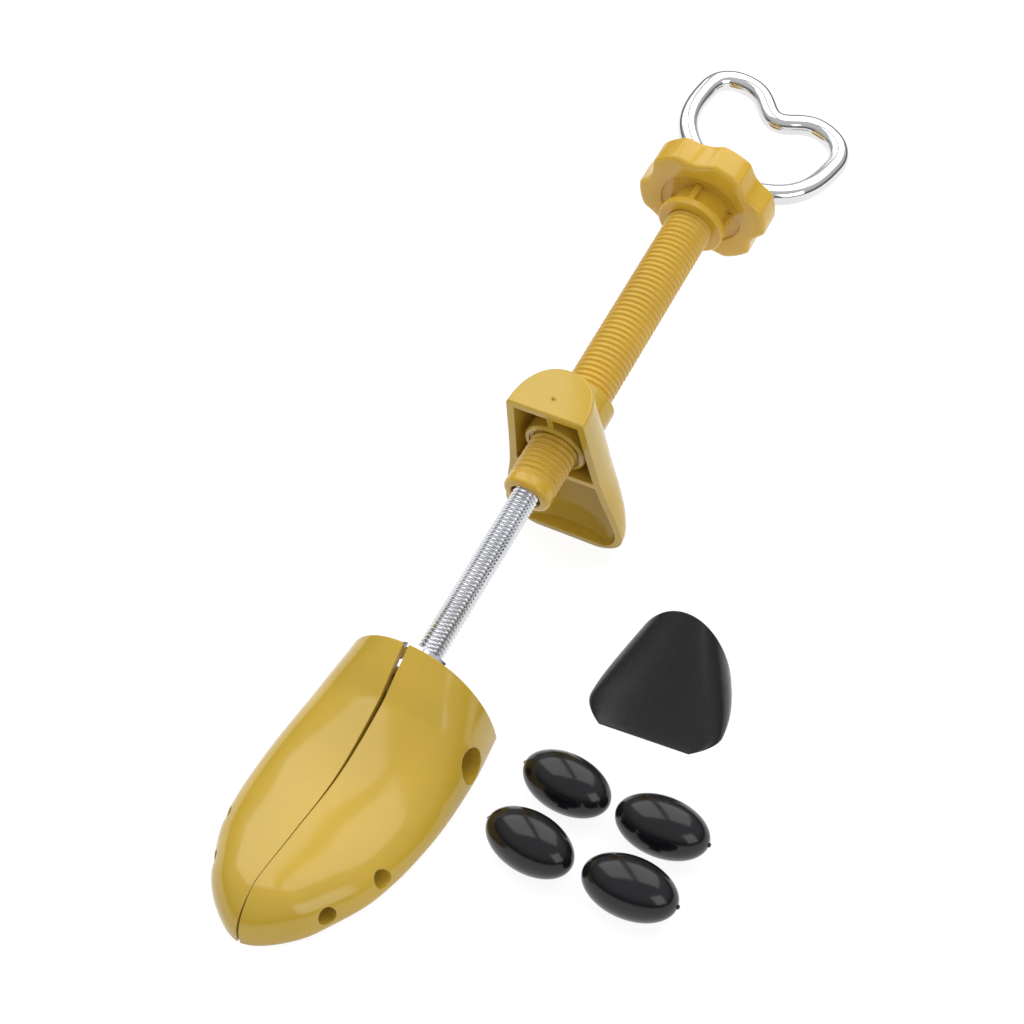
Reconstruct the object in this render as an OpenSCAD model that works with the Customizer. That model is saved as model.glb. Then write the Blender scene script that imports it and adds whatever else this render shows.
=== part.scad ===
/* [Forefoot] */
// Length of the forefoot from the mouth to the toe
foot_len = 88; // [80:1:100]
// Height of the forefoot at the mouth
mouth_h = 33.6; // [32:0.4:38]
// Half width of the forefoot at the mouth
mouth_half_w = 23.6; // [22:0.4:28]
// Half width of the forefoot at the ball
ball_half_w = 27; // [26:0.5:34]
// Height of the forefoot over the toes
toe_h = 14.2; // [13.6:0.2:17]
// Wall thickness of the forefoot shells
foot_wall = 2.6; // [2:0.2:3]
// Gap between the halves at the mouth
mouth_gap = 2; // [1:0.2:2.6]
/* [Screw line] */
// Slope of the screw line above the sole
rise = 17; // [16:0.5:18]
// Height of the screw line above the sole at the mouth
line_h = 18.5; // [18:0.25:19.5]
// Diameter of the steel rod
rod_d = 8; // [7.6:0.1:8.2]
// Length of rod between the mouth and the screw tube
rod_show = 59.7; // [50:0.5:75]
// Diameter of the screw tube over its thread
tube_d = 15; // [14:0.2:15.8]
// Bore of the screw tube
tube_bore = 9.4; // [9:0.1:10]
// Length of the screw tube in front of the wheel flange
tube_len = 109; // [95:1:130]
/* [Heel block] */
// Distance from the front end of the tube to the front face of the block
block_at = 16.4; // [8:0.2:22]
// Half width of the block at its flat top
heel_top_half_w = 12.5; // [12:0.25:15]
// Depth of the block at its flat top
heel_depth = 17; // [16:0.5:20]
// Half width of the block low down
heel_low_half_w = 19.6; // [18:0.2:24]
// Wall thickness of the block
heel_wall = 2.4; // [2:0.1:2.8]
// Diameter of the threaded hub in the block
hub_d = 19.8; // [18.8:0.2:20.6]
/* [Handwheel] */
// Diameter over the lobes
wheel_d = 43.6; // [40:0.4:52]
// Thickness of the wheel
wheel_t = 10.2; // [10:0.2:14]
// Number of lobes
lobes = 6; // [5:1:8]
/* [Heart handle] */
// Diameter of the round wire
wire_d = 6.6; // [5.6:0.1:6.8]
// Half width of the heart on its wire centreline
heart_half_w = 24.8; // [22:0.4:32]
// Length of the heart on its wire centreline
heart_len = 38.2; // [34:0.2:48]
// Sideways lean of the heart on its pin, as it lies
heart_lean = 10; // [0:1:13]
/* [Loose pads] */
// Length of an oval relief pad
pad_l = 26; // [22:0.5:30]
// Width of an oval relief pad
pad_w = 16; // [15:0.5:20]
// Width of the instep pad
instep_w = 43; // [38:1:48]
// Height of the instep pad at its tall end
instep_h = 23; // [19:0.5:28]
/* [Hidden] */
$fn = 64;
eps = 0.01;
// Radial running clearance of shafts in their holes
run_gap = 0.06;
// Free clearance between parts that pass each other
free_gap = 0.35;
mustard = [0.80, 0.66, 0.24];
amber = [0.86, 0.68, 0.22];
steel = [0.78, 0.79, 0.81];
black = [0.06, 0.06, 0.065];
rod_r = rod_d / 2;
// The hinge at the toe
hinge_y = -(foot_len - 7);
knuckle_r = 4.2;
toe_pin_r = 1.8;
// Plug holes in the side walls: distance of the inner end from the mouth, height, radius
hole_a = [16.2, 7.6, 5];
hole_b = [57.8, 6, 2.5];
hole_c = [68.8, 5.4, 2.5];
// The left half's upper two holes lie this much nearer the toe
left_shift = 3;
// Room between the wedge and its ramps
ramp_gap = free_gap + 0.15;
// Height to which the upper knuckle reaches inside the toe
knuckle_top = 7.6;
// Travel of the wedge and the angle that each half then swings
wedge_travel = 15;
wedge_rear = 1.5;
wedge_len = 14;
wedge_rear_w = 10;
wedge_slope = 0.256;
wedge_h = 4.5;
half_swing = 2.66;
// The mouth leans back over this share of its height
mouth_lean = 0.2;
// Stations along the screw line, from the mouth
journal_end = -34;
journal_r = 2.5;
lug_at = -30;
lug_t = 2;
tube_front = rod_show;
thread_pitch = 1.85;
thread_deep = 0.6;
flange_at = rod_show + tube_len;
face_at = flange_at + 7.6;
back_at = face_at + wheel_t;
pocket_at = flange_at + 8.6;
cap_at = pocket_at + 3.5;
heart_at = cap_at + 3.8;
// How far the heart and its socket are turned round the screw line, as they lie
handle_roll = 12.5;
// The block's front face leans forward at the bottom
block_lean = 3.2;
block_at_line = rod_show + block_at;
heel_top_z = 18.9;

// Cubic through knots with slopes taken from the neighbours
function slope_at(k, i) = let (n = len(k) - 1)
  i == 0 ? (k[1][1] - k[0][1]) / (k[1][0] - k[0][0]) :
  i == n ? (k[n][1] - k[n-1][1]) / (k[n][0] - k[n-1][0]) :
  (k[i+1][1] - k[i-1][1]) / (k[i+1][0] - k[i-1][0]);
function seg_of(k, x, i = 0) = i >= len(k) - 2 || x <= k[i+1][0] ? i : seg_of(k, x, i + 1);
function curve(k, x) = let (i = seg_of(k, x), h = k[i+1][0] - k[i][0], t = (x - k[i][0]) / h,
  a = slope_at(k, i) * h, b = slope_at(k, i + 1) * h)
  (2*t*t*t - 3*t*t + 1) * k[i][1] + (t*t*t - 2*t*t + t) * a
  + (3*t*t - 2*t*t*t) * k[i+1][1] + (t*t*t - t*t) * b;
function flat(l) = [for (a = l) for (b = a) b];

// A closed skin over sections of equal point counts, each turning left as seen from the end
module skin(secs) {
  n = len(secs);
  m = len(secs[0]);
  sides = [for (i = [0:n-2]) for (j = [0:m-1]) let (a = i*m + j, b = i*m + (j+1) % m)
    each [[a, b + m, b], [a, a + m, b + m]]];
  start = [[for (j = [0:m-1]) j]];
  finish = [[for (j = [m-1:-1:0]) (n-1)*m + j]];
  polyhedron(points = flat(secs), faces = concat(start, sides, finish));
}
// A tube of round section along a closed path, p, with side vectors s and normals w
module ring_tube(p, s, w, r, sides) {
  n = len(p);
  pts = [for (i = [0:n-1]) for (j = [0:sides-1]) let (a = 360 * j / sides)
    p[i] + r * cos(a) * s[i] + r * sin(a) * w];
  polyhedron(points = pts, faces = [for (i = [0:n-1]) for (j = [0:sides-1])
    let (a = i*sides + j, b = i*sides + (j+1) % sides, c = ((i+1) % n)*sides + (j+1) % sides,
    d = ((i+1) % n)*sides + j) each [[a, b, c], [a, c, d]]]);
}

// Moves a piece from the mouth's frame to the part's, which has the toe pin at its origin
module place() {
  translate([0, -hinge_y, 0]) children();
}
// Places things on the screw line, its +Z turned to run along the line towards the handle
module on_line(at) {
  translate([0, 0, line_h]) rotate([rise, 0, 0]) translate([0, at, 0]) rotate([-90, 0, 0])
    children();
}
// The same with the line's own frame kept: Y along it, Z square to it
module line_frame(at) {
  translate([0, 0, line_h]) rotate([rise, 0, 0]) translate([0, at, 0]) children();
}
// The handle pin's frame: Z along the pin
module handle_frame() {
  line_frame(heart_at) rotate([0, handle_roll, 0]) children();
}
module bar(r, from, to) {
  on_line(from) cylinder(r = r, h = to - from);
}

// Forefoot outline: half width and height at u, from 0 at the mouth to 1 at the toe
function toe_round(u) = u < 0.86 ? 1 : sqrt(max(0.012, 1 - pow((u - 0.86) / 0.14, 2)));
function foot_w(u) = toe_round(u) * curve([[0, mouth_half_w], [0.2, mouth_half_w + 2.7],
  [0.45, ball_half_w], [0.7, ball_half_w - 3.3], [0.88, ball_half_w - 10.9], [1, 11]], u);
function foot_h(u) = 3 + (curve([[0, mouth_h], [0.1, mouth_h - 5], [0.2, mouth_h - 10.2],
  [0.45, toe_h + 1.8], [0.7, toe_h + 0.5], [0.88, toe_h], [1, toe_h - 2]], u) - 3) * toe_round(u);
// How far a point at height z moves towards the toe, for the leaning mouth
function leant(u, z) = -u * foot_len - mouth_lean * z * (1 - u);
function foot_section(u, in, floor_z, n) = let (w = foot_w(u) - in, h = foot_h(u) - in,
  k = min(2.6, (h - floor_z) * 0.35))
  concat([[in > 0 ? -1 : 0, leant(u, floor_z), floor_z], [w * 0.88, leant(u, floor_z), floor_z],
  [w * 0.975, leant(u, floor_z + k * 0.35), floor_z + k * 0.35]],
  [for (j = [0:n]) let (a = 90 * j / n, z = floor_z + k + (h - floor_z - k) * pow(sin(a), 0.94))
    [j == n ? (in > 0 ? -1 : 0) : w * pow(cos(a), 0.94), leant(u, z), z]]);
function station(i, n) = 1 - pow(1 - i / n, 1.6);

module foot_outer() {
  n = 26;
  skin([for (i = [0:n]) foot_section(station(i, n), 0, 0, 14)]);
}
// The hollow inside one half, behind the solid toe
module foot_hollow() {
  n = 14;
  u0 = 2.6 / foot_len;
  u1 = 0.88;
  skin([for (i = [0:n]) foot_section(u0 + (u1 - u0) * i / n, foot_wall, foot_wall, 10)]);
}
// Half width of the ramp that the wedge runs on, at s millimetres from the mouth
function reach(s) = s / cos(rise) + wedge_rear;
function ramp_w(s) = max(rod_r + 0.9, wedge_rear_w + ramp_gap
  - wedge_slope * max(0, reach(s) - wedge_travel)
  - (-hinge_y - s) * sin(half_swing * min(1, reach(s) / wedge_travel)));
module ramp(top, s0, s1) {
  n = 12;
  inner = [for (i = [0:n]) let (s = s0 + (s1 - s0) * i / n) [ramp_w(s), -s]];
  outer = [for (i = [n:-1:0]) let (s = s0 + (s1 - s0) * i / n) [ramp_w(s) + 2.6, -s]];
  linear_extrude(height = top) polygon(concat(inner, outer));
}
module plug_boss(h, turn, from, r) {
  translate([from, -h[0], h[1]]) rotate([0, 0, turn]) rotate([0, 90, 0]) cylinder(r = r, h = 20);
}
module plug_bore(h, turn, from) {
  translate([from, -h[0], h[1]]) rotate([0, 0, turn]) rotate([0, 90, 0])
    translate([0, 0, -0.6]) cylinder(r = h[2], h = 24);
}
function shifted(h, lower) = [h[0] + (lower ? 0 : left_shift), h[1], h[2]];
// Ribs, ramps and bosses that stand in the hollow
module foot_inside(lower) {
  ramp(24, 2.4, 11);
  ramp(17, 10.9, 24);
  plug_boss(shifted(hole_a, lower), 0, 13.5, 6.8);
  plug_boss(shifted(hole_b, lower), 0, 14.5, 4.3);
  plug_boss(hole_c, -30, 9, 4);
  translate([7, -24.6, 1]) cube([22, 2, 40]);
  translate([7, -48, 1]) cube([22, 2, 40]);
  translate([10.5, -43, 1]) cylinder(r = 1.3, h = 10);
}
// One half seen as the right one: the left mirrors it but for the knuckle and two holes
module foot_half(lower) {
  difference() {
    union() {
      difference() {
        foot_outer();
        difference() {
          foot_hollow();
          foot_inside(lower);
        }
      }
      translate([0, hinge_y, lower ? 0 : 4.9])
        cylinder(r = knuckle_r, h = lower ? 3 : knuckle_top - 4.9);
    }
    // the free side of the other half's knuckle; the toe's skin closes over the upper one
    translate([0, hinge_y, lower ? 3.15 : -5])
      cylinder(r = knuckle_r + free_gap, h = lower ? knuckle_top - 2.8 : 9.75);
    // slot for the strap, with room for the swing
    translate([-7, hinge_y, 3.15]) cube([12.5, 14, 1.6]);
    // bore for the toe pin and the seat of its head
    translate([0, hinge_y, -1]) cylinder(r = toe_pin_r + run_gap, h = lower ? 5 : 7.7);
    if (lower) translate([0, hinge_y, -1]) cylinder(r = 3 + run_gap, h = 2.1);
    plug_bore(shifted(hole_a, lower), 0, 13.5);
    plug_bore(shifted(hole_b, lower), 0, 14.5);
    plug_bore(hole_c, -30, 9);
    // opening in the back wall for the wedge and the rod
    on_line(-7.6) cylinder(r = 11.6, h = 22);
    // the seam opens towards the mouth, and a little in front of the hinge for the swing
    difference() {
      translate([-50, -foot_len - 6, -2]) linear_extrude(height = mouth_h + 8)
        polygon([[0, -2], [50.5, -2], [50.42, 6], [50.08, 13], [50.15, foot_len * 0.46],
          [50 + mouth_gap / 2, foot_len + 6], [50 + mouth_gap / 2, foot_len + 12],
          [0, foot_len + 12]]);
      translate([0, hinge_y, lower ? -3 : 4.9])
        cylinder(r = knuckle_r, h = lower ? 6 : knuckle_top - 4.9);
    }
  }
}
module forefoot_right() {
  color(mustard) place() foot_half(true);
}
module forefoot_left() {
  color(mustard) place() mirror([1, 0, 0]) foot_half(false);
}
module toe_pin() {
  color(steel) place() translate([0, hinge_y, 0]) {
    cylinder(r = 3, h = 1);
    cylinder(r = toe_pin_r, h = 6.4);
  }
}
// Strap from the toe pin, bent up square to the screw line behind
module toe_strap() {
  lug_y = (lug_at + lug_t) * cos(rise);
  low = 3.35;
  color(steel) place() difference() {
    union() {
      translate([0, hinge_y, low]) cylinder(r = 4, h = 1.2);
      translate([-3.5, hinge_y, low]) cube([7, -hinge_y + lug_y + 1.6, 1.2]);
      intersection() {
        line_frame(lug_at) translate([-5, 0, -9]) cube([10, lug_t, 13.6]);
        translate([-10, hinge_y, low]) cube([20, 100, 30]);
      }
    }
    translate([0, hinge_y, 0]) cylinder(r = toe_pin_r, h = 9);
    bar(journal_r + run_gap, lug_at - 3, lug_at + 5);
  }
}
module rod_washer() {
  color(steel) place() difference() {
    bar(3.8, lug_at - 0.65, lug_at - 0.15);
    bar(journal_r, lug_at - 2, lug_at + 1);
  }
}
module rod_lock_nut() {
  color(steel) place() difference() {
    on_line(lug_at - 3.3) cylinder(r = 4.0, h = 2.6, $fn = 6);
    bar(journal_r, lug_at - 5, lug_at + 1);
  }
}
// Coil that pulls the halves together, hooked over a post in each
spring_r = 2.2;
spring_wire = 0.4;
spring_curls = 9;
spring_half = 9.2;
spring_z = 8;
function spring_pt(t) = [-spring_half + 2 * spring_half * t,
  spring_r * cos(360 * spring_curls * t), spring_r * sin(360 * spring_curls * t)];
module closing_spring() {
  rings = spring_curls * 8;
  gap = 2 * spring_half / spring_curls - 2 * spring_wire;
  echo(str("closing spring least gap ", gap));
  color(steel) place() translate([0, -43, spring_z]) {
    skin([for (i = [0:rings]) let (t = i / rings, a = 360 * spring_curls * t, p = spring_pt(t))
      [for (j = [0:5]) let (b = 60 * j) p + spring_wire * [cos(b), sin(b) * cos(a),
        sin(b) * sin(a)]]]);
    for (q = [0, 1]) mirror([q, 0, 0]) difference() {
      translate([10.5, 0, -spring_wire]) cylinder(r = 2.6, h = 2 * spring_wire);
      translate([10.5, 0, -2]) cylinder(r = 1.7, h = 4);
    }
  }
}
// Wedge nut on the rod, flat sides on the ramps, flat top and bottom
module spreader_wedge() {
  front = wedge_rear_w - wedge_slope * wedge_len;
  color(steel) place() difference() {
    union() {
      line_frame(wedge_rear - wedge_len) translate([0, 0, -wedge_h]) linear_extrude(
        height = 2 * wedge_h) polygon([[-front, 0], [front, 0], [wedge_rear_w, wedge_len - 1],
        [wedge_rear_w - 0.8, wedge_len - 0.2], [0.8 - wedge_rear_w, wedge_len - 0.2],
        [-wedge_rear_w, wedge_len - 1]]);
      bar(9, wedge_rear - 1.4, wedge_rear);
    }
    bar(rod_r + run_gap, wedge_rear - wedge_len - 2, wedge_rear + 2);
  }
}
module threaded_rod() {
  color(steel) place() union() {
    bar(journal_r, journal_end, lug_at + lug_t + 1);
    bar(rod_r, lug_at + lug_t + 0.2, cap_at + 0.9);
  }
}
// Socket on the rod's rear end: thrust flange, body and slot for the heart's tang
module thrust_socket() {
  color(steel) place() difference() {
    union() {
      bar(7.2, pocket_at + 0.8, pocket_at + 3);
      bar(5.6, pocket_at + 2.5, heart_at + 2.9);
    }
    bar(rod_r, pocket_at - 1, cap_at + 0.9);
    handle_frame() translate([-10, -2.85, -2]) cube([20, 12, 4]);
    handle_frame() translate([-10, 0.6, -wire_d / 2 - 0.3]) cube([20, 12, wire_d + 0.6]);
    handle_frame() cylinder(r = 1.5, h = 20, center = true);
    line_frame(pocket_at + 1.9) cylinder(r = 0.8, h = 30, center = true);
  }
}
module roll_pin() {
  color(steel) place() difference() {
    line_frame(pocket_at + 1.9) cylinder(r = 0.8, h = 13.6, center = true);
    bar(rod_r, pocket_at - 1, cap_at);
  }
}
module heart_pin() {
  color(steel) place() handle_frame() cylinder(r = 1.5, h = 10.8, center = true);
}
// Heart: three cubic pieces a side, mirrored, on the wire's centreline
function bez(p, t) = pow(1-t, 3) * p[0] + 3 * pow(1-t, 2) * t * p[1] + 3 * (1-t) * t * t * p[2]
  + t * t * t * p[3];
function heart_side() = let (w = heart_half_w, l = heart_len, a = [0, 4.8], b = [w, l * 0.86],
  c = [w * 0.547, l + 4.2], d = [0, l * 0.946])
  concat([for (i = [0:11]) bez([a, [w * 0.9, l * 0.27], [w, l * 0.535], b], i / 12)],
  [for (i = [0:7]) bez([b, [w, l * 1.01], [w * 0.82, l + 4.2], c], i / 8)],
  [for (i = [0:8]) bez([c, [w * 0.274, l + 4.2], [w * 0.18, l * 0.946], d], i / 8)]);
function heart_path() = let (h = heart_side(), n = len(h))
  concat(h, [for (i = [n-2:-1:1]) [-h[i][0], h[i][1]]]);
module heart_handle() {
  h = heart_path();
  n = len(h);
  dirs = [for (i = [0:n-1]) let (d = h[(i+1) % n] - h[(i+n-1) % n]) d / norm(d)];
  color(steel) place() handle_frame() rotate([0, 0, -heart_lean]) difference() {
    union() {
      ring_tube([for (q = h) [q[0], q[1], 0]], [for (d = dirs) [d[1], -d[0], 0]], [0, 0, 1],
        wire_d / 2, 14);
      translate([0, 0, -1.8]) linear_extrude(height = 3.6) hull() {
        circle(r = 2.6);
        translate([0, 4.8]) circle(r = 2.6);
      }
    }
    cylinder(r = 1.5 + run_gap, h = 20, center = true);
  }
}
// Tube over its thread, which stands here as plain rings; it ends inside the wheel's pocket
module screw_tube() {
  r = tube_d / 2;
  n = floor((tube_len - 3) / thread_pitch);
  color(amber) place() difference() {
    on_line(tube_front) rotate_extrude() polygon(concat([[tube_bore / 2, 0], [r - thread_deep, 0]],
      [for (i = [0:n-1]) for (q = [[r - thread_deep, 0.8], [r, 1.5], [r, 2.2]])
        [q[0], q[1] + i * thread_pitch]],
      [[r - thread_deep, 0.8 + n * thread_pitch], [r, 1.5 + n * thread_pitch],
      [r, pocket_at - tube_front], [tube_bore / 2, pocket_at - tube_front]]));
    bar(tube_bore / 2, tube_front - 1, tube_front + 0.1);
  }
}
module handwheel() {
  neck_r = tube_d / 2 + 1.6;
  color(amber) place() difference() {
    union() {
      bar(tube_d / 2 + 3.4, flange_at, flange_at + 2.8);
      bar(neck_r, flange_at + 1, face_at + 1);
      for (a = [0:90:359]) line_frame(flange_at + 2) rotate([0, a, 0])
        translate([-0.9, 0, 0]) cube([1.8, face_at - flange_at - 1, tube_d / 2 + 3]);
      difference() {
        on_line(face_at) rotate_extrude() polygon([[0, 0], [wheel_d / 2 - 1.6, 0],
          [wheel_d / 2 - 0.4, 0.6], [wheel_d / 2, 2], [wheel_d / 2, wheel_t - 2],
          [wheel_d / 2 - 0.4, wheel_t - 0.6], [wheel_d / 2 - 1.6, wheel_t], [0, wheel_t]]);
        for (i = [0:lobes-1]) line_frame(face_at - 1) rotate([0, 28 + 360 * i / lobes, 0])
          translate([wheel_d / 2 + 7.4, 0, 0]) rotate([-90, 0, 0])
          cylinder(r = 9.8, h = wheel_t + 2);
        bar(13.5, face_at - 1, face_at + 1.2);
      }
      bar(neck_r, face_at - 1, face_at + 3);
    }
    bar(tube_d / 2, flange_at - 1, pocket_at);
    bar(tube_d / 2 + 0.1, pocket_at - eps, cap_at + eps);
    bar(9, cap_at, back_at + 1);
    bar(13, back_at - 2.4, back_at + 1);
  }
}
module wheel_cap() {
  color(amber) place() difference() {
    bar(9, cap_at, cap_at + 1.7);
    bar(5.6 + 0.25, cap_at - 1, cap_at + 3);
  }
}
module thrust_washer_front() {
  color(steel) place() difference() {
    bar(7.2, pocket_at + 0.05, pocket_at + 0.65);
    bar(rod_r + 0.2, pocket_at - 1, pocket_at + 2);
  }
}
module thrust_washer_rear() {
  color(steel) place() difference() {
    bar(7.2, pocket_at + 3.1, pocket_at + 3.45);
    bar(5.6 + 0.25, pocket_at, pocket_at + 5);
  }
}
// Heel block sections: height, half width, depth, on the leaning front face
heel_low_z = -(line_h + (block_at_line) * sin(rise)) / cos(rise);
function heel_knots_w() = [[heel_low_z - 0.2, heel_low_half_w - 10.6], [heel_low_z + 1.5,
  heel_low_half_w - 5.2], [heel_low_z + 4, heel_low_half_w - 1.8], [heel_low_z + 8,
  heel_low_half_w], [heel_low_z + 12, heel_low_half_w - 0.2], [heel_low_z + 18,
  heel_low_half_w - 1.4], [-10, heel_top_half_w + 2.9], [heel_top_z, heel_top_half_w]];
function heel_knots_d() = [[heel_low_z - 0.2, 3.4], [heel_low_z + 2.2, 6], [heel_low_z + 8, 10],
  [heel_low_z + 16, 14.4], [-10, heel_depth + 0.6], [heel_top_z, heel_depth]];
function heel_section(z, in, front) = let (w = curve(heel_knots_w(), z) - in,
  d = curve(heel_knots_d(), z) - in, n = 20)
  concat([[w, front, z]], [for (j = [0:n]) let (a = 180 * j / n) [w * (cos(a) < 0 ? -1 : 1)
    * pow(abs(cos(a)), 0.87), d * pow(sin(a), 0.87), z]], [[-w, front, z]]);
module heel_form(in, z0, z1, front, n) {
  skin([for (i = [0:n]) heel_section(z0 + (z1 - z0) * i / n, in, front)]);
}
module heel_block() {
  shelf = -hub_d / 2 - 0.6;
  color(mustard) place() difference() {
    union() {
      line_frame(block_at_line) rotate([-block_lean, 0, 0]) difference() {
        heel_form(0, heel_low_z + 0.4, heel_top_z, -0.02, 16);
        heel_form(heel_wall, shelf + 2, heel_top_z - heel_wall, -3, 8);
        heel_form(heel_wall, heel_low_z + 2.6, shelf, -3, 10);
      }
      bar(hub_d / 2, block_at_line + 1.6, block_at_line + 21.4);
      line_frame(block_at_line + 2.4) translate([-0.9, 0, 0]) cube([1.8, 13,
        heel_top_z - 1.5]);
    }
    bar(tube_d / 2 + run_gap, block_at_line - 5, block_at_line + 30);
    bar(tube_d / 2 + 0.9, block_at_line, block_at_line + 2.2);
    translate([-50, 0, -60]) cube([100, 200, 60]);
  }
}
// Oval pad lying on its belly with its plug pointing away and down
module oval_pad(x, y, turn) {
  hw = pad_w / 2;
  color(black) place() translate([x, y, hw]) rotate([0, 0, turn]) union() {
    rotate([0, 90, 0]) rotate_extrude() polygon(concat([[0, -pad_l / 2 - 0.7], [0.55,
      -pad_l / 2 - 0.1]], [for (i = [2:31]) let (a = -90 + 180 * i / 32) [hw * cos(a),
      pad_l / 2 * sin(a)]], [[0, pad_l / 2]]));
    rotate([-120, 0, 0]) translate([0, 0, 4]) cylinder(r = 2.3, h = 6.6);
  }
}
module oval_pad_1() {
  oval_pad(50.3, -9.1, -4);
}
module oval_pad_2() {
  oval_pad(51.2, -30.6, -7);
}
module oval_pad_3() {
  oval_pad(78.6, -9.4, 3);
}
module oval_pad_4() {
  oval_pad(80, -30.4, 3);
}
// Instep saddle: a feather edge in front that rises to a tall arch behind
instep_len = 30;
instep_t = 2.4;
function saddle_plan(v) = v < 0.32 ? 1 - 0.44 * pow((0.32 - v) / 0.32, 2.6)
  : 1 - 0.155 * pow((v - 0.32) / 0.68, 1.5);
function saddle_section(v, in) = let (w = instep_w / 2 * saddle_plan(v) - in,
  h = max(0.9, 2.6 + (instep_h - 2.6) * pow(v, 0.62) - in), n = 16)
  [for (j = [n:-1:0]) let (a = 180 * j / n) [w * cos(a) * pow(abs(cos(a)), 0.1),
    2.2 + (instep_len - 2.2) * v, h * sin(a)]];
module instep_pad() {
  color(black) place() translate([57, 19.5, 0]) rotate([0, 0, 7]) difference() {
    skin([for (i = [0:11]) saddle_section(pow(i / 11, 1.5), 0)]);
    translate([0, 0, -0.5]) skin([for (i = [0:9]) saddle_section(0.1 + i / 9, instep_t)]);
  }
}

forefoot_left();
forefoot_right();
toe_pin();
toe_strap();
rod_washer();
rod_lock_nut();
closing_spring();
spreader_wedge();
threaded_rod();
thrust_socket();
roll_pin();
heart_pin();
heart_handle();
screw_tube();
handwheel();
wheel_cap();
thrust_washer_front();
thrust_washer_rear();
heel_block();
oval_pad_1();
oval_pad_2();
oval_pad_3();
oval_pad_4();
instep_pad();
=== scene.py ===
import math
import bpy
import bmesh
import numpy as np
from mathutils import Matrix, Vector


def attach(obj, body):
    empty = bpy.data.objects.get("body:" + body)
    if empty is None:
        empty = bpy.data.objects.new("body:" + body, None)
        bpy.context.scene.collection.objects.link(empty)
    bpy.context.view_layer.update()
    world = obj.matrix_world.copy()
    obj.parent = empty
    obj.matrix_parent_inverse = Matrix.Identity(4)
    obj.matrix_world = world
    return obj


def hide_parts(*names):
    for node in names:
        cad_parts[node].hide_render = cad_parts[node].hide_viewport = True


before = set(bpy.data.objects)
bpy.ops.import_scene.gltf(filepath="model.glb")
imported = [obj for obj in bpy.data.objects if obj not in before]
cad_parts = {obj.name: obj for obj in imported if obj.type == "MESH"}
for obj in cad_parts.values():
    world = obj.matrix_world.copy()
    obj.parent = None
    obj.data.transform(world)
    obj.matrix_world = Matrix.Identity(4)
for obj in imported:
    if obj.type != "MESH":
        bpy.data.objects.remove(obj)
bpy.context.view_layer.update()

# ---------------------------------------------------------------- camera
# The photo looks down on the toe from the front right, from about half a metre away.
# Place and lens come from fitting the screw's axis, thread and wheel to the photo.
cam_data = bpy.data.cameras.new("photo_camera")
cam_data.lens = 63.28
cam_data.sensor_width = 36.0
cam_data.clip_start, cam_data.clip_end = 0.02, 20.0
camera = bpy.data.objects.new("photo_camera", cam_data)
bpy.context.collection.objects.link(camera)
azimuth, elevation, roll = (math.radians(v) for v in (30.53, 42.45, 0.8))
look = Vector((-math.sin(azimuth) * math.cos(elevation),
               math.cos(azimuth) * math.cos(elevation), -math.sin(elevation)))
level = look.cross(Vector((0, 0, 1))).normalized()
upright = level.cross(look)
right = math.cos(roll) * level - math.sin(roll) * upright
up = math.sin(roll) * level + math.cos(roll) * upright
turn = Matrix((right, up, -look)).transposed().to_4x4()
camera.matrix_world = Matrix.Translation((0.1925, -0.1958, 0.3827)) @ turn
bpy.context.scene.camera = camera

# ---------------------------------------------------------------- light and floor
# A white product table: big soft boxes, and a floor that the camera sees as plain white.
# What shines in the chrome is the grey and dark part of the room, low down and behind.
scene = bpy.context.scene
scene.view_settings.view_transform = "Standard"
scene.view_settings.look = "None"


def area(name, place, aim, size, watts):
    """A white soft box at place, pointing at aim."""
    data = bpy.data.lights.new(name, "AREA")
    data.shape, data.size, data.size_y = "RECTANGLE", size[0], size[1]
    data.energy = watts
    lamp = bpy.data.objects.new(name, data)
    bpy.context.collection.objects.link(lamp)
    lamp.location = place
    lamp.rotation_euler = (Vector(aim) - Vector(place)).to_track_quat("-Z", "Y").to_euler()


# Two big boxes hang side by side behind the zenith, with a dark gap between them that shows
# as a line in the glossy pads; a smaller one stands low on the right.
area("softbox_left", (-0.613, 0.20, 0.88), (-0.41, -0.144, 0.03), (0.85, 1.2), 5.4)
area("softbox_right", (0.247, 0.708, 0.88), (0.45, 0.364, 0.03), (0.85, 1.2), 5.4)
area("softbox_low", (0.95, -0.30, 0.50), (0, 0.08, 0.02), (0.6, 0.6), 2.2)
world = bpy.data.worlds.new("room")
scene.world = world
world.use_nodes = True
nt = world.node_tree
nt.nodes.clear()
out = nt.nodes.new("ShaderNodeOutputWorld")
bg = nt.nodes.new("ShaderNodeBackground")
white = nt.nodes.new("ShaderNodeBackground")
white.inputs["Color"].default_value = (1, 1, 1, 1)
white.inputs["Strength"].default_value = 1.0
geo = nt.nodes.new("ShaderNodeTexCoord")
sep = nt.nodes.new("ShaderNodeSeparateXYZ")
ramp = nt.nodes.new("ShaderNodeValToRGB")
ramp.color_ramp.elements[0].position = 0.0
ramp.color_ramp.elements[0].color = (0.10, 0.10, 0.105, 1)
ramp.color_ramp.elements[1].position = 0.55
ramp.color_ramp.elements[1].color = (0.95, 0.95, 0.96, 1)
for pos, val in ((0.18, 0.20), (0.30, 0.60)):
    e = ramp.color_ramp.elements.new(pos)
    e.color = (val, val, val * 1.01, 1)
path = nt.nodes.new("ShaderNodeLightPath")
mix = nt.nodes.new("ShaderNodeMixShader")
nt.links.new(geo.outputs["Generated"], sep.inputs[0])
nt.links.new(sep.outputs["Z"], ramp.inputs["Fac"])
nt.links.new(ramp.outputs["Color"], bg.inputs["Color"])
bg.inputs["Strength"].default_value = 0.64
nt.links.new(path.outputs["Is Camera Ray"], mix.inputs["Fac"])
nt.links.new(bg.outputs[0], mix.inputs[1])
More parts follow.
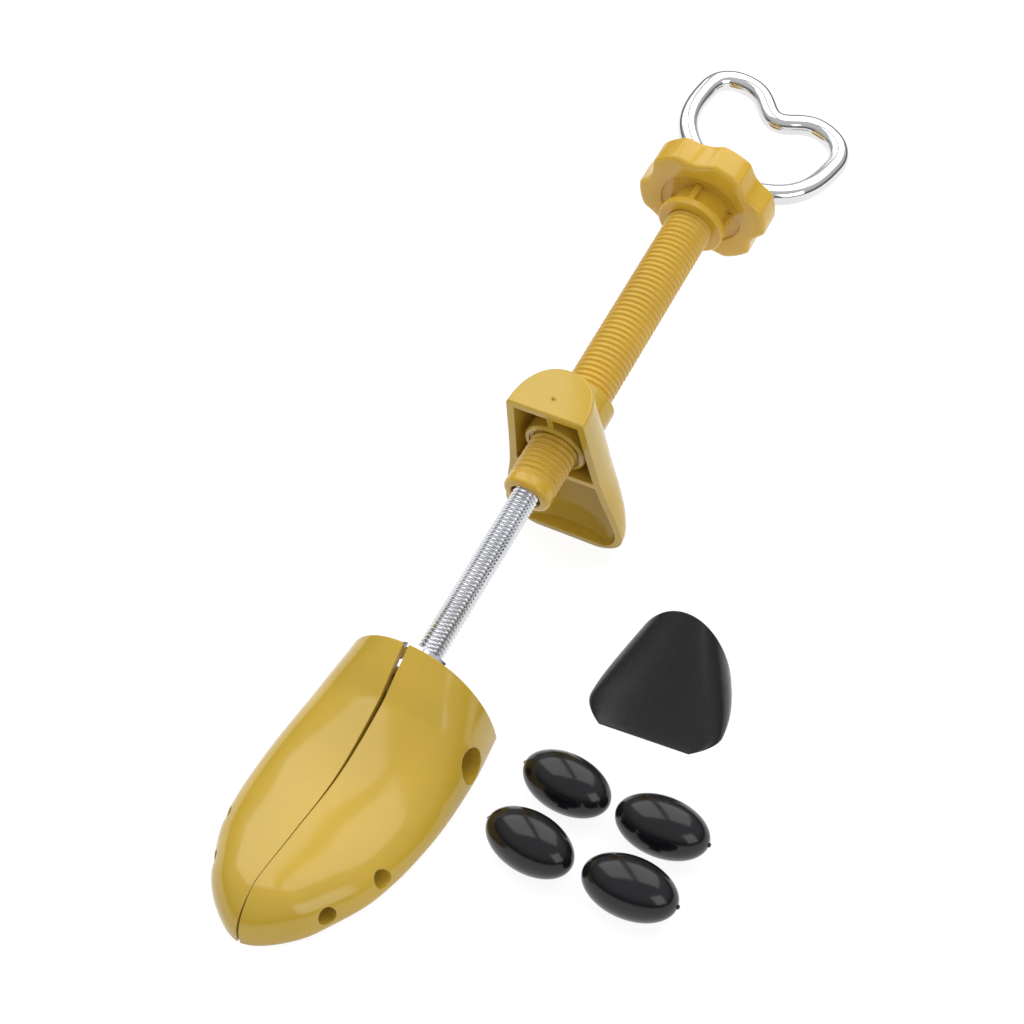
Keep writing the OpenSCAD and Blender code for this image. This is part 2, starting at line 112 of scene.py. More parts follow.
nt.links.new(white.outputs[0], mix.inputs[2])
nt.links.new(mix.outputs[0], out.inputs["Surface"])

bpy.ops.mesh.primitive_plane_add(size=6, location=(0, 0.1, 0))
floor = bpy.context.object
floor.name = "table_top"
fmat = bpy.data.materials.new("white_table")
fmat.use_nodes = True
nt = fmat.node_tree
nt.nodes.clear()
out = nt.nodes.new("ShaderNodeOutputMaterial")
dif = nt.nodes.new("ShaderNodeBsdfDiffuse")
dif.inputs["Color"].default_value = (0.86, 0.86, 0.86, 1)
faint = nt.nodes.new("ShaderNodeBsdfDiffuse")
faint.inputs["Color"].default_value = (0.16, 0.16, 0.16, 1)
emi = nt.nodes.new("ShaderNodeEmission")
emi.inputs["Color"].default_value = (0.90, 0.90, 0.90, 1)
shown = nt.nodes.new("ShaderNodeAddShader")
path = nt.nodes.new("ShaderNodeLightPath")
seen = nt.nodes.new("ShaderNodeMath")
seen.operation = "MAXIMUM"
seen_too = nt.nodes.new("ShaderNodeMath")
seen_too.operation = "MAXIMUM"
mix = nt.nodes.new("ShaderNodeMixShader")
nt.links.new(path.outputs["Is Camera Ray"], seen.inputs[0])
nt.links.new(path.outputs["Is Glossy Ray"], seen.inputs[1])
nt.links.new(seen.outputs[0], seen_too.inputs[0])
nt.links.new(path.outputs["Is Transmission Ray"], seen_too.inputs[1])
nt.links.new(seen_too.outputs[0], mix.inputs["Fac"])
# Painted shadow: the table's white glow is switched off in a circle under the forefoot, where only
# the seam shows it, so the table shows dark through the seam.
spot = nt.nodes.new("ShaderNodeTexCoord")
away = nt.nodes.new("ShaderNodeVectorMath")
away.operation = "DISTANCE"
away.inputs[1].default_value = (0, -0.042, 0)
# Mask of the painted shadow: 1 outside the circle under the forefoot, 0 inside it, where the
# table's glow is cut.
beyond_painted_shadow = nt.nodes.new("ShaderNodeMath")
beyond_painted_shadow.operation = "GREATER_THAN"
beyond_painted_shadow.inputs[1].default_value = 0.021
nt.links.new(spot.outputs["Object"], away.inputs[0])
nt.links.new(away.outputs["Value"], beyond_painted_shadow.inputs[0])
nt.links.new(beyond_painted_shadow.outputs[0], emi.inputs["Strength"])
nt.links.new(faint.outputs[0], shown.inputs[0])
nt.links.new(emi.outputs[0], shown.inputs[1])
nt.links.new(dif.outputs[0], mix.inputs[1])
nt.links.new(shown.outputs[0], mix.inputs[2])
nt.links.new(mix.outputs[0], out.inputs["Surface"])
floor.data.materials.append(fmat)

# ---------------------------------------------------------------- moulded plastic finish
# Glossy injection-moulded plastic: faint orange peel, hairline scuffs, a slightly mottled
# colour, paler on thin edges, and softly broken corners where the mould ends.


def moulded(name, base, rough, edge, peel=0.05, scuffs=0.35, gloss=0.5, sss=0.0):
    """A plastic whose colour and roughness vary over Object coordinates. Its corners turn
    paler, to the edge colour, within 0.35 mm."""
    m = bpy.data.materials.new(name)
    m.use_nodes = True
    t = m.node_tree
    b = t.nodes["Principled BSDF"]
    tc = t.nodes.new("ShaderNodeTexCoord")
    mottle = t.nodes.new("ShaderNodeTexNoise")
    mottle.inputs["Scale"].default_value = 45.0
    mottle.inputs["Detail"].default_value = 3.0
    t.links.new(tc.outputs["Object"], mottle.inputs["Vector"])
    cr = t.nodes.new("ShaderNodeValToRGB")
    lo = [c * 0.955 for c in base]
    hi = [min(1.0, c * 1.045) for c in base]
    cr.color_ramp.elements[0].position, cr.color_ramp.elements[1].position = 0.35, 0.68
    cr.color_ramp.elements[0].color = (*lo, 1)
    cr.color_ramp.elements[1].color = (*hi, 1)
    t.links.new(mottle.outputs["Fac"], cr.inputs["Fac"])
    bev = t.nodes.new("ShaderNodeBevel")
    bev.samples = 4
    bev.inputs["Radius"].default_value = 0.00035
    g = t.nodes.new("ShaderNodeNewGeometry")
    dot = t.nodes.new("ShaderNodeVectorMath")
    dot.operation = "DOT_PRODUCT"
    t.links.new(bev.outputs[0], dot.inputs[0])
    t.links.new(g.outputs["Normal"], dot.inputs[1])
    em = t.nodes.new("ShaderNodeMapRange")
    em.inputs["From Min"].default_value, em.inputs["From Max"].default_value = 0.995, 0.90
    em.inputs["To Min"].default_value, em.inputs["To Max"].default_value = 0.0, 0.55
    t.links.new(dot.outputs["Value"], em.inputs["Value"])
    mc = t.nodes.new("ShaderNodeMix")
    mc.data_type = "RGBA"
    mc.inputs["B"].default_value = (*edge, 1)
    t.links.new(em.outputs[0], mc.inputs["Factor"])
    t.links.new(cr.outputs["Color"], mc.inputs["A"])
    t.links.new(mc.outputs["Result"], b.inputs["Base Color"])
    scratch = t.nodes.new("ShaderNodeTexNoise")
    scratch.inputs["Scale"].default_value = 150.0
    scratch.inputs["Detail"].default_value = 5.0
    scratch.inputs["Roughness"].default_value = 0.7
    mp = t.nodes.new("ShaderNodeMapping")
    mp.inputs["Scale"].default_value = (5.0, 0.35, 2.0)
    mp.inputs["Rotation"].default_value = (0.2, 0.1, 0.5)
    t.links.new(tc.outputs["Object"], mp.inputs["Vector"])
    t.links.new(mp.outputs["Vector"], scratch.inputs["Vector"])
    rr = t.nodes.new("ShaderNodeMapRange")
    rr.inputs["From Min"].default_value, rr.inputs["From Max"].default_value = 0.35, 0.75
    rr.inputs["To Min"].default_value = rough * (1 - scuffs * 0.5)
    rr.inputs["To Max"].default_value = rough * (1 + scuffs)
    t.links.new(scratch.outputs["Fac"], rr.inputs["Value"])
    t.links.new(rr.outputs[0], b.inputs["Roughness"])
    peel_n = t.nodes.new("ShaderNodeTexNoise")
    peel_n.inputs["Scale"].default_value = 420.0
    peel_n.inputs["Detail"].default_value = 2.0
    t.links.new(tc.outputs["Object"], peel_n.inputs["Vector"])
    wave = t.nodes.new("ShaderNodeTexNoise")
    wave.inputs["Scale"].default_value = 60.0
    wave.inputs["Detail"].default_value = 1.0
    t.links.new(tc.outputs["Object"], wave.inputs["Vector"])
    add = t.nodes.new("ShaderNodeMath")
    add.operation = "MULTIPLY_ADD"
    add.inputs[1].default_value = 2.2
    t.links.new(wave.outputs["Fac"], add.inputs[0])
    t.links.new(peel_n.outputs["Fac"], add.inputs[2])
    bump = t.nodes.new("ShaderNodeBump")
    bump.inputs["Strength"].default_value = peel
    bump.inputs["Distance"].default_value = 0.0004
    t.links.new(add.outputs[0], bump.inputs["Height"])
    t.links.new(bev.outputs[0], bump.inputs["Normal"])
    t.links.new(bump.outputs[0], b.inputs["Normal"])
    b.inputs["Specular IOR Level"].default_value = gloss
    b.inputs["Subsurface Weight"].default_value = sss
    b.inputs["Subsurface Radius"].default_value = (1.0, 0.6, 0.2)
    b.inputs["Subsurface Scale"].default_value = 0.0012
    return m


mustard = moulded("mustard_plastic", (0.57, 0.378, 0.041), 0.14, (0.70, 0.55, 0.18), sss=0.10)
amber = moulded("amber_plastic", (0.66, 0.405, 0.036), 0.18, (0.75, 0.55, 0.15), sss=0.10)
black = moulded("black_plastic", (0.008, 0.008, 0.010), 0.15, (0.02, 0.02, 0.022),
                peel=0.035, scuffs=0.5, gloss=0.42)
soft_black = moulded("soft_black_plastic", (0.011, 0.0105, 0.010), 0.29, (0.03, 0.028, 0.027),
                     peel=0.08, scuffs=0.3, gloss=0.36)


# ---------------------------------------------------------------- metal finishes
# The screw and small fittings are zinc-plated steel with a fine grain and dull patches.
# The heart is polished chrome with faint buffing marks.


def metal(name, colour, rough, bump_by):
    """A metal with fine noise in its roughness and a little of it in its surface."""
    m = bpy.data.materials.new(name)
    m.use_nodes = True
    t = m.node_tree
    b = t.nodes["Principled BSDF"]
    b.inputs["Metallic"].default_value = 1.0
    tc = t.nodes.new("ShaderNodeTexCoord")
    n = t.nodes.new("ShaderNodeTexNoise")
    n.inputs["Scale"].default_value = 300.0
    n.inputs["Detail"].default_value = 4.0
    t.links.new(tc.outputs["Object"], n.inputs["Vector"])
    r = t.nodes.new("ShaderNodeMapRange")
    r.inputs["From Min"].default_value, r.inputs["From Max"].default_value = 0.3, 0.75
    r.inputs["To Min"].default_value, r.inputs["To Max"].default_value = rough * 0.75, rough * 1.6
    t.links.new(n.outputs["Fac"], r.inputs["Value"])
    t.links.new(r.outputs[0], b.inputs["Roughness"])
    patch = t.nodes.new("ShaderNodeTexNoise")
    patch.inputs["Scale"].default_value = 70.0
    t.links.new(tc.outputs["Object"], patch.inputs["Vector"])
    cr = t.nodes.new("ShaderNodeValToRGB")
    cr.color_ramp.elements[0].position, cr.color_ramp.elements[1].position = 0.35, 0.7
    cr.color_ramp.elements[0].color = (*[c * 0.9 for c in colour], 1)
    cr.color_ramp.elements[1].color = (*colour, 1)
    t.links.new(patch.outputs["Fac"], cr.inputs["Fac"])
    t.links.new(cr.outputs["Color"], b.inputs["Base Color"])
    bump = t.nodes.new("ShaderNodeBump")
    bump.inputs["Strength"].default_value = bump_by
    bump.inputs["Distance"].default_value = 0.0002
    t.links.new(n.outputs["Fac"], bump.inputs["Height"])
    t.links.new(bump.outputs[0], b.inputs["Normal"])
    return m


zinc = metal("zinc_steel", (0.74, 0.75, 0.78), 0.14, 0.06)
chrome = metal("chrome_wire", (0.80, 0.80, 0.81), 0.07, 0.02)

# ---------------------------------------------------------------- forefoot halves
# The two halves mirror each other but for two holes and the knuckle: a thin shell with a
# flat sole, a tall mouth that leans back, a low toe and plug holes. Sizes are in millimetres.
RISE, LINE, MOUTH = math.radians(17.0), 18.5, 81.0  # the screw line and the mouth's place
FOOT, WALL, SWING = 88.0, 2.6, 2.66
W_KNOTS = np.array([[0, 23.6], [0.2, 26.3], [0.45, 27.0], [0.7, 23.7], [0.88, 16.1], [1, 11.0]])
H_KNOTS = np.array([[0, 33.6], [0.1, 28.6], [0.2, 23.4], [0.45, 16.0], [0.7, 14.7],
                    [0.88, 14.2], [1, 12.2]])


def curve(k, x):
    """A cubic through knots k, its slope at each the mean rise between the neighbours."""
    i = np.clip(np.searchsorted(k[:, 0], x, side="right") - 1, 0, len(k) - 2)
    s = np.empty(len(k))
    s[1:-1] = (k[2:, 1] - k[:-2, 1]) / (k[2:, 0] - k[:-2, 0])
    s[0] = (k[1, 1] - k[0, 1]) / (k[1, 0] - k[0, 0])
    s[-1] = (k[-1, 1] - k[-2, 1]) / (k[-1, 0] - k[-2, 0])
    h = k[i + 1, 0] - k[i, 0]
    t = (x - k[i, 0]) / h
    return ((2 * t**3 - 3 * t**2 + 1) * k[i, 1] + (t**3 - 2 * t**2 + t) * s[i] * h
            + (3 * t**2 - 2 * t**3) * k[i + 1, 1] + (t**3 - t**2) * s[i + 1] * h)


def mesh(name, points, faces):
    """A mesh object in metres from points in millimetres."""
    me = bpy.data.meshes.new(name)
    pts = np.ascontiguousarray(points.reshape(-1, 3) * 0.001, dtype=np.float32)
    me.from_pydata(pts.tolist(), [], [list(map(int, f)) for f in faces])
    o = bpy.data.objects.new(name, me)
    bpy.context.collection.objects.link(o)
    return clean(o)


def clean(o):
    """Merges doubled points, turns faces outward, and shades smooth up to 32 degrees."""
    bm = bmesh.new()
    bm.from_mesh(o.data)
    bmesh.ops.remove_doubles(bm, verts=bm.verts, dist=2e-6)
    bmesh.ops.dissolve_degenerate(bm, edges=bm.edges, dist=1e-6)
    bmesh.ops.recalc_face_normals(bm, faces=bm.faces)
    bm.to_mesh(o.data)
    bm.free()
    o.data.shade_smooth()
    o.data.set_sharp_from_angle(angle=math.radians(32))
    return o


def skin(name, grid, along=False, caps=True):
    """A skin over a grid of points: rows run along it, columns round it. along closes it
    into a ring, and caps closes the ends of one that isn't."""
    n, m = grid.shape[:2]
    idx = np.arange(n * m).reshape(n, m)
    rows = np.vstack([idx, idx[:1]]) if along else idx
    cols = np.hstack([rows, rows[:, :1]])
    q = np.stack([cols[:-1, :-1], cols[:-1, 1:], cols[1:, 1:], cols[1:, :-1]], -1).reshape(-1, 4)
    faces = [list(f) for f in q]
    if caps and not along:
        faces += [list(idx[0][::-1]), list(idx[-1])]
    return mesh(name, grid, faces)


def prism(name, ring, low, high):
    """An upright prism over a ring of (x, y) points, between two heights."""
    grid = np.stack([np.column_stack([ring, np.full(len(ring), v)]) for v in (low, high)])
    return skin(name, grid)


def on_line(x, a, z):
    """Points of the screw line's frame (across, along, above) in the part's frame."""
    x, a, z = np.broadcast_arrays(*(np.asarray(v, float) for v in (x, a, z)))
    c, s = math.cos(RISE), math.sin(RISE)
    return np.stack([x, MOUTH + a * c - z * s, LINE + a * s + z * c], -1)


def lathe(name, profile, n=144):
    """A ring turned round the screw line from a closed profile of (along, radius) points."""
    p = np.array(profile, float)
    t = np.linspace(0, 2 * np.pi, n, endpoint=False)[:, None]
    grid = on_line(p[None, :, 1] * np.sin(t), p[None, :, 0], p[None, :, 1] * np.cos(t))
    return skin(name, grid, along=True)


def rod(name, p0, direction, r, length, n=64):
    """A plain cylinder from p0 along direction, in millimetres."""
    d = Vector(direction).normalized()
    a = d.orthogonal().normalized()
    b = d.cross(a)
    t = np.linspace(0, 2 * np.pi, n, endpoint=False)
    ring = np.array([a]) * np.cos(t)[:, None] + np.array([b]) * np.sin(t)[:, None]
    grid = np.stack([np.array(p0) + r * ring, np.array(p0) + r * ring + length * np.array(d)])
    return skin(name, grid)


def box(name, low, high, line=False):
    """A box between two corners, in the part's frame or in the screw line's."""
    x, y, z = (np.array([low[i], high[i]], float) for i in range(3))
    ring = np.array([[x[0], y[0]], [x[1], y[0]], [x[1], y[1]], [x[0], y[1]]])
    grid = np.stack([np.column_stack([ring, np.full(4, v)]) for v in z])
    if line:
        grid = on_line(grid[..., 0], grid[..., 1], grid[..., 2])
    return skin(name, grid)


def combine(o, tools, how):
    """Joins tools to o or cuts them from it, and removes them."""
    for k in tools:
        mod = o.modifiers.new("b", "BOOLEAN")
        mod.operation, mod.object = how, k
        mod.solver = "MANIFOLD"
        with bpy.context.temp_override(object=o, active_object=o, selected_objects=[o]):
            bpy.ops.object.modifier_apply(modifier=mod.name)
        bpy.data.objects.remove(k)
    return o


def finish_piece(o, body, material, *nodes):
    """Cleans a piece, paints it, and lets it ride on its body in place of the CAD nodes."""
    clean(o)
    o.data.materials.clear()
    o.data.materials.append(material)
    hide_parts(*nodes)
    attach(o, body)
    return o


def foot_skin(name, s, inset, floor_z, columns):
    """One half's section at share s of its length: a flat sole, a short corner, then a
    near-elliptical wall up to the seam, each point moved back by the mouth's lean."""
    rnd = np.where(s < 0.86, 1.0, np.sqrt(np.maximum(0.012, 1 - ((s - 0.86) / 0.14) ** 2)))
    w = (rnd * curve(W_KNOTS, s) - inset)[:, None]
    h = (3 + (curve(H_KNOTS, s) - 3) * rnd - inset)[:, None]
    k = np.minimum(2.6, (h - floor_z) * 0.35)
    a = np.linspace(0, np.pi / 2, columns)[None]
    x = w * np.cos(a) ** 0.94
    z = floor_z + k + (h - floor_z - k) * np.sin(a) ** 0.94
    x[:, -1] = -1.0 if inset else 0.0
    c = np.linspace(0, 1, 9)[None, :-1]
    corner_x = w * (0.88 + 0.12 * np.sin(c * np.pi / 2) ** 0.8)
    corner_z = floor_z + k * (1 - np.cos(c * np.pi / 2))
    first = np.full((len(s), 1), -1.0 if inset else 0.0)
    x = np.hstack([first, corner_x, x])
    z = np.hstack([np.full_like(first, floor_z), corner_z, z])
    y = MOUTH - s[:, None] * FOOT - 0.2 * z * (1 - s[:, None])
    return skin(name, np.stack([x, y, z], -1))


def ramp_width(s):
    """The wedge ramps' half width at s from the mouth, so the rear of the wedge just fits."""
    t = s / math.cos(RISE) + 1.5
    from_pin = MOUTH - s
    w = 10.5 - 0.256 * np.maximum(0, t - 15)
    w = w - from_pin * np.sin(np.radians(SWING) * np.minimum(1, t / 15))
    return np.maximum(4.9, w)


def ramp_web(name, top, s0, s1):
    """One upright web of the ramp."""
    s = np.linspace(s0, s1, 9)
    w = ramp_width(s)
    near_side = np.column_stack([w, MOUTH - s])
    far_side = np.column_stack([w + 2.6, MOUTH - s])[::-1]
    ring = np.vstack([near_side, far_side])
    return prism(name, ring, 1.0, top)


u = 1 - (1 - np.linspace(0, 1, 91)) ** 1.45
turned = (math.cos(math.radians(-30)), math.sin(math.radians(-30)), 0)
seam_ring = np.array([[-50, -15], [0.5, -15], [0.42, -7], [0.08, 0], [0.15, 27.48],
                      [1.0, 81], [1.0, 93], [-50, 93]], float)
for side, lower in (("right", True), ("left", False)):
    near, far = (MOUTH - 16.2, MOUTH - 57.8) if lower else (MOUTH - 19.2, MOUTH - 60.8)
    o = foot_skin("forefoot_%s_shell" % side, u, 0.0, 0.0, 46)
    hollow = foot_skin("hollow", np.linspace(WALL / FOOT, 0.88, 60), WALL, WALL, 36)
    combine(hollow, [ramp_web("r1", 24, 2.4, 11), ramp_web("r2", 17, 10.9, 24),
                     rod("b1", (13.5, near, 7.6), (1, 0, 0), 6.8, 20),
                     rod("b2", (14.5, far, 6), (1, 0, 0), 4.3, 20),
                     rod("b3", (9, MOUTH - 68.8, 5.4), turned, 4, 20),
                     box("b4", (7, MOUTH - 24.6, 1), (29, MOUTH - 22.6, 41)),
                     box("b5", (7, MOUTH - 48, 1), (29, MOUTH - 46, 41)),
                     rod("b6", (10.5, MOUTH - 43, 1), (0, 0, 1), 1.3, 10)], "DIFFERENCE")
    combine(o, [hollow, rod("h1", (12.9, near, 7.6), (1, 0, 0), 5, 24),
                rod("h2", (13.9, far, 6), (1, 0, 0), 2.5, 24),
                rod("h3", (8.48, MOUTH - 68.5, 5.4), turned, 2.5, 24),
                rod("h4", on_line(0, -7.6, 0), (0, math.cos(RISE), math.sin(RISE)), 11.6, 22)],
            "DIFFERENCE")
    seam = prism("seam", seam_ring, -2.0, 44.0)
    low, tall = (0, 3) if lower else (4.9, 2.7)
    combine(o, [seam], "DIFFERENCE")
    combine(o, [rod("kn", (0, 0, low), (0, 0, 1), 4.2, tall, 72)], "UNION")
    free = rod("fr", (0, 0, 3.15 if lower else -5), (0, 0, 1), 4.55, 4.8 if lower else 9.75, 72)
    strap_slot = box("sl", (-7, 0, 3.15), (5.5, 14, 4.75))
    pin_bore = rod("pb", (0, 0, -1), (0, 0, 1), 1.86, 5 if lower else 7.7)
    cuts = [free, strap_slot, pin_bore]
    if lower:
        cuts.append(rod("hd", (0, 0, -1), (0, 0, 1), 3.06, 2.1))
    combine(o, cuts, "DIFFERENCE")
    if not lower:
        o.data.transform(Matrix.Diagonal((-1, 1, 1, 1)))
        o.data.flip_normals()
    finish_piece(o, side + "_half", mustard, "forefoot_" + side)

# ---------------------------------------------------------------- threaded rod
# A coarse 8 mm screw, zinc plated, with crisp triangular threads from the mouth to inside
# the tube, a smooth shank beyond, and a thin journal in front that turns in the strap.


def thread(name, a0, a1, pitch, radius, rows, columns, ends):
    """A helical skin: each row climbs by one pitch in a turn, and is cut flat at a0 and a1.
    radius(along, phase) gives the surface, and ends(along) lists the rings that close it."""
    count = int(math.ceil((a1 - a0) / pitch + 2.2)) * rows
    v = np.arange(count)[:, None]
    t = np.arange(columns)[None] / columns
    a = a0 - 1.1 * pitch + v * pitch / rows + pitch * t
    ac = np.clip(a, a0, a1)
    r = radius(ac, np.mod(ac / pitch - t, 1.0))
    th = 2 * np.pi * t
    grid = on_line(r * np.sin(th), ac, r * np.cos(th))
    idx = np.arange(count * columns).reshape(count, columns)
    left, right_ = idx[:, :-1], idx[:, 1:]
    q = np.stack([left[:-1], right_[:-1], right_[1:], left[1:]], -1).reshape(-1, 4)
    wrap = np.stack([idx[:-rows - 1, -1], idx[rows:-1, 0], idx[rows + 1:, 0], idx[1:-rows, -1]], -1)
    faces = np.vstack([q, wrap])
    flat = ac.ravel()
    spread = flat[faces].max(1) - flat[faces].min(1)
    faces = faces[spread > 1e-6]

    def end_ring(at):
        edge = radius(np.full(columns, at), np.mod(at / pitch - t[0], 1.0))
        return on_line(edge * np.sin(th[0]), at, edge * np.cos(th[0]))

    plain = [on_line(rr * np.sin(th[0]), aa, rr * np.cos(th[0])) for aa, rr in ends]
    rings = [end_ring(a1)] + plain + [end_ring(a0)]
    rid = count * columns + np.arange(len(rings) * columns).reshape(len(rings), columns)
    nxt = np.roll(rid, -1, axis=1)
    q2 = np.stack([rid[:-1], nxt[:-1], nxt[1:], rid[1:]], -1).reshape(-1, 4)
    faces = [list(f) for f in faces] + [list(f) for f in q2]
    return mesh(name, np.vstack([grid.reshape(-1, 3)] + rings), faces)


ROD_R, ROD_PITCH = 4.0, 1.25
THREAD_START, THREAD_END, SHANK_END, JOURNAL_END = -27.6, 66.0, 181.7, -34.0


def screw_profile(a, phase):
    """Triangular thread with narrow flats on its crests, 0.7 mm deep."""
    tri = np.abs(2 * phase - 1)
    return ROD_R - 0.70 * np.clip(1 - 1.22 * tri + 0.08, 0, 1)


o = thread("screw_rod", THREAD_START, THREAD_END, ROD_PITCH, screw_profile, 12, 72,
           [(THREAD_END, 3.9), (181.3, 3.9), (SHANK_END, 3.5), (SHANK_END, 0.001),
            (JOURNAL_END, 0.001), (JOURNAL_END, 2.2), (-33.7, 2.5), (THREAD_START, 2.5)])
finish_piece(o, "rod", zinc, "threaded_rod")

# ---------------------------------------------------------------- screw tube
# The amber plastic tube: a smooth rounded collar in front, then a rounded coarse thread
# along its whole length, and a plain bore that the steel rod runs through.


TUBE_FRONT, TUBE_R, TUBE_PITCH, POCKET = 59.7, 7.48, 1.85, 177.3


def tube_profile(a, phase):
    """Rounded thread 0.62 mm deep that fades into the collar, whose lip is rounded."""
    wave = 0.5 - 0.5 * np.cos(2 * np.pi * phase)
    start = np.clip((a - 63.2) / 1.6, 0, 1)
    start = start * start * (3 - 2 * start)
    r = TUBE_R - 0.62 * start * wave**1.7
    e = np.clip(1.5 - (a - TUBE_FRONT), 0, 1.5)
    return r - (1.5 - np.sqrt(np.maximum(0, 1.5**2 - e**2)))


o = thread("screw_tube_thread", TUBE_FRONT, 170.0, TUBE_PITCH, tube_profile, 10, 96,
           [(170.0, 7.4), (POCKET, 7.4), (POCKET, 4.7), (60.1, 4.7), (TUBE_FRONT, 5.0)])
finish_piece(o, "wheel", amber, "screw_tube")

# ---------------------------------------------------------------- handwheel
# A thick wheel with six broad finger lobes and rounded rims, a neck and a flange in front
# joined by small gussets, a shallow dish in each face and a pocket for the screw's end.


WHEEL_R, LOBES, FACE, CAP = 21.8, 6, 176.3, 180.8


def wheel_skin():
    """Lobed disc: at each angle the rim's radius dips by a round scallop, and the profile
    runs from the axis over a rounded rim of radius 1.7 and back on the other face."""
    th = np.linspace(0, 2 * np.pi, 720, endpoint=False)
    step = 2 * np.pi / LOBES
    off = np.abs(np.mod(th + math.radians(2) + step / 2, step) - step / 2)
    centre = WHEEL_R + 7.4
    d2 = 9.8**2 - (centre * np.sin(off)) ** 2
    dip = np.where(d2 > 0, centre * np.cos(off) - np.sqrt(np.maximum(d2, 0)), 99)
    rim = np.minimum(WHEEL_R - np.log(np.exp(-1.1 * (dip - WHEEL_R)) + 1.0) / 1.1, 21.72)
    c = np.linspace(0, np.pi / 2, 9)
    # each point: distance from the front face, radius, and 1 where the rim's radius is added
    prof = [(1.2, 0.0, 0), (1.2, 13.0, 0), (0.9, 13.5, 0), (0.25, 13.75, 0), (0.0, 14.3, 0)]
    prof += [(1.7 - 1.7 * math.cos(q), -1.7 + 1.7 * math.sin(q), 1) for q in c]
    prof += [(8.5 + 1.7 * math.sin(q), -1.7 + 1.7 * math.cos(q), 1) for q in c]
    prof += [(10.2, 14.0, 0), (10.05, 13.4, 0), (9.6, 13.0, 0), (7.8, 13.0, 0), (7.8, 0.0, 0)]
    rows = [on_line((r + rim * on_rim) * np.sin(th), FACE + back, (r + rim * on_rim) * np.cos(th))
            for back, r, on_rim in prof]
    return skin("handwheel_body", np.stack(rows), caps=False)


o = wheel_skin()
flange = [(168.7, 0), (168.7, 10.5), (169.1, 10.9), (171.1, 10.9), (171.5, 10.5), (171.5, 0)]
parts = [lathe("fl", flange), lathe("nk", [(169.7, 0), (169.7, 9.1), (177.8, 9.1), (177.8, 0)])]
for k in range(4):
    a = math.radians(90 * k)
    ring = np.array([[-0.9, 0], [0.9, 0], [0.9, 10.6], [-0.9, 10.6]])
    across = ring[:, 0] * math.cos(a) + ring[:, 1] * math.sin(a)
    above = -ring[:, 0] * math.sin(a) + ring[:, 1] * math.cos(a)
    parts.append(skin("gusset", np.stack([on_line(across, v, above) for v in (170.7, POCKET)])))
combine(o, parts, "UNION")
combine(o, [lathe("p1", [(167, 0), (167, 7.47), (POCKET + 0.01, 7.47), (POCKET + 0.01, 0)]),
            lathe("p2", [(POCKET, 0), (POCKET, 7.6), (CAP + 0.01, 7.6), (CAP + 0.01, 0)]),
            lathe("p3", [(CAP, 0), (CAP, 9.0), (188, 9.0), (188, 0)])], "DIFFERENCE")
finish_piece(o, "wheel", amber, "handwheel")
o = lathe("wheel_cap_ring", [(CAP, 5.85), (CAP, 8.95), (182.2, 8.95), (182.5, 8.6), (182.5, 6.1),
                             (182.3, 5.85)])
finish_piece(o, "wheel", amber, "wheel_cap")

# ---------------------------------------------------------------- heart handle
# A heart bent from round chromed wire with a flat tang that swings on a cross pin in the
# end of the screw. It lies askew in the photo, leaning to the right.


PIN_AT, LEAN, ROLL, WIRE_R = 184.6, math.radians(-10), math.radians(12.5), 3.3


def bezier(p, n, last=False):
    """n points on a cubic Bezier curve, with its last point if last."""
    p = np.array(p, float)
    t = np.linspace(0, 1, n, endpoint=last)[:, None]
    ends = (1 - t) ** 3 * p[0] + t**3 * p[3]
    return ends + 3 * (1 - t) ** 2 * t * p[1] + 3 * (1 - t) * t**2 * p[2]


def on_handle(x, y, z):
    """Points of the pin's frame in the part's: leant in the heart's own plane, then rolled
    round the screw line."""
    x, y, z = np.broadcast_arrays(*(np.asarray(v, float) for v in (x, y, z)))
    c, s = math.cos(LEAN), math.sin(LEAN)
    x, y = x * c - y * s, x * s + y * c
    c, s = math.cos(ROLL), math.sin(ROLL)
    return on_line(x * c + z * s, PIN_AT + y, -x * s + z * c)


side = np.vstack([bezier([(0, 4.8), (22.32, 10.31), (24.8, 20.44), (24.8, 32.85)], 60),
                  bezier([(24.8, 32.85), (24.8, 38.58), (20.34, 42.4), (13.57, 42.4)], 36),
                  bezier([(13.57, 42.4), (6.8, 42.4), (4.46, 36.14), (0, 36.14)], 40, True)])
loop = np.vstack([side, side[-2:0:-1] * [-1, 1]])
step = np.roll(loop, -1, 0) - np.roll(loop, 1, 0)
step /= np.linalg.norm(step, axis=1)[:, None]
t = np.linspace(0, 2 * np.pi, 28, endpoint=False)
cross = np.stack([step[:, 1], -step[:, 0]], -1)
flat_x = loop[:, None, 0] + WIRE_R * np.cos(t)[None] * cross[:, None, 0]
flat_y = loop[:, None, 1] + WIRE_R * np.cos(t)[None] * cross[:, None, 1]
o = skin("heart_wire", on_handle(flat_x, flat_y, WIRE_R * np.sin(t)[None]), along=True)
ang = np.linspace(0, np.pi, 25)
ring = np.vstack([np.column_stack([2.6 * np.cos(ang), 4.8 + 2.6 * np.sin(ang)]),
                  np.column_stack([-2.6 * np.cos(ang), -2.6 * np.sin(ang)])])
tang = skin("tang", np.stack([on_handle(ring[:, 0], ring[:, 1], v) for v in (-1.8, 1.8)]))
combine(o, [tang], "UNION")
pin_low, pin_high = on_handle(0, 0, -10.0), on_handle(0, 0, 10.0)
combine(o, [rod("eye", pin_low, pin_high - pin_low, 1.56, 20)], "DIFFERENCE")
finish_piece(o, "handle", chrome, "heart_handle")

